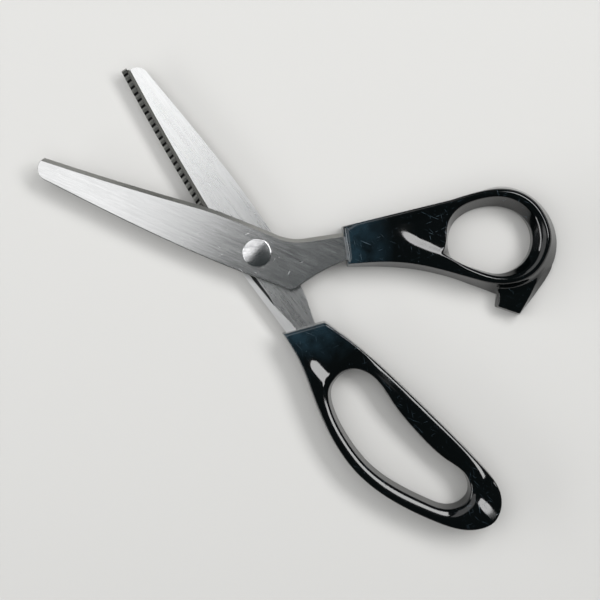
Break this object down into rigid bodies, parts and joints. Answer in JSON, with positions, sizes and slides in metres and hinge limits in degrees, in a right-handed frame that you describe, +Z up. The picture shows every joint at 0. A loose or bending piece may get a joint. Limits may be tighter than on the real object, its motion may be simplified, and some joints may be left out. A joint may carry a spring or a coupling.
{
  "type": "pinking shears",
  "caption": "Pinking shears: two pressed steel blades with toothed cutting edges on a screw pivot, with a round thumb ring and a long finger loop in black plastic.",
  "frame": {"origin": "on the pivot's axis, at the flat bottom of the pivot nut, which is the level of the surface that the shears lie on", "axes": "+Z up, square to the blades, along the pivot's axis; +Y along the middle line between the two open blades, towards their tips; +X to the right of it seen from above"},
  "size_m": [0.1314, 0.2312, 0.013],
  "materials": {
    "blade_steel": "satin, brushed along the blade",
    "pivot_steel": "polished dome",
    "washer_brass": "plain",
    "handle_plastic": "glossy black"
  },
  "bodies": {
    "lower_half": {"lower_blade": "blade_steel", "finger_handle": "handle_plastic", "pivot_screw": "pivot_steel", "bearing_washer": "washer_brass", "spring_washer": "pivot_steel", "pivot_nut": "pivot_steel"},
    "upper_half": {"upper_blade": "blade_steel", "thumb_handle": "handle_plastic"}
  },
  "joints": [
    {"name": "blade_pivot", "type": "hinge", "parent": "lower_half", "child": "upper_half", "pos_m": [0, 0, 0.0065], "axis": [0, 0, 1], "range_deg": [-29.3, 92]}
  ]
}
